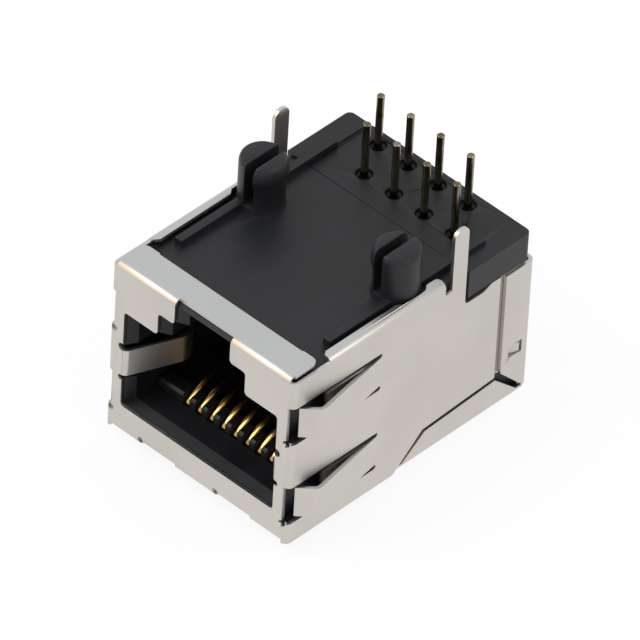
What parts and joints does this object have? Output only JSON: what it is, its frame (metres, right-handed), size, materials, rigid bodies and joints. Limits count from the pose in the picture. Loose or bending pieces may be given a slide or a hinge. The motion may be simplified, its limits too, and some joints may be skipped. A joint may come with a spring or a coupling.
{
  "type": "rj45 board jack",
  "caption": "Shielded modular jack for a printed circuit board: folded metal shield with spring fingers, black moulded port, split board posts, solder tabs and round solder pins.",
  "frame": {"origin": "under the middle of the part, at the height of the crowns of the two roof spring fingers that it lies on", "axes": "+X across the port, +Y from the port to the rear cover, +Z towards the circuit board that the pins are soldered to; as soldered on the top of a board, -Z is up"},
  "size_m": [0.0172, 0.0212, 0.0179],
  "materials": {
    "housing_plastic": "black moulded PBT with glass fibre, satin with a faint flow texture",
    "carrier_plastic": "black moulded LCP, satin",
    "insert_plastic": "black moulded LCP, satin",
    "shield_plate": "stamped brass sheet with satin nickel plate, sheared edges golden",
    "board_laminate": "glass-epoxy laminate with green solder mask",
    "tray_plastic": "black moulded plastic, satin",
    "contact_gold": "phosphor bronze wire, gold plated, polished",
    "pin_metal": "tinned copper-alloy wire, bright, with bare copper cut ends",
    "ferrite": "sintered ferrite, dark grey, matt",
    "copper_wire": "enamelled copper winding, glossy",
    "resistor_ceramic": "chip resistor, black glaze",
    "capacitor_ceramic": "multilayer ceramic capacitor, tan, matt"
  },
  "bodies": {
    "root": {"housing": "housing_plastic", "pin_carrier": "carrier_plastic", "contact_insert": "insert_plastic", "shield": "shield_plate", "circuit_board": "board_laminate", "coil_tray": "tray_plastic", "contact_wire_1": "contact_gold", "contact_wire_2": "contact_gold", "contact_wire_3": "contact_gold", "contact_wire_4": "contact_gold", "contact_wire_5": "contact_gold", "contact_wire_6": "contact_gold", "contact_wire_7": "contact_gold", "contact_wire_8": "contact_gold", "solder_pin_1": "pin_metal", "solder_pin_2": "pin_metal", "solder_pin_3": "pin_metal", "solder_pin_4": "pin_metal", "solder_pin_5": "pin_metal", "solder_pin_6": "pin_metal", "solder_pin_7": "pin_metal", "solder_pin_8": "pin_metal", "tx_transformer_core": "ferrite", "tx_transformer_winding": "copper_wire", "rx_transformer_core": "ferrite", "rx_transformer_winding": "copper_wire", "tx_choke_core": "ferrite", "tx_choke_winding": "copper_wire", "rx_choke_core": "ferrite", "rx_choke_winding": "copper_wire", "termination_resistor_1": "resistor_ceramic", "termination_resistor_2": "resistor_ceramic", "termination_resistor_3": "resistor_ceramic", "termination_resistor_4": "resistor_ceramic", "isolation_capacitor": "capacitor_ceramic"}
  },
  "joints": []
}
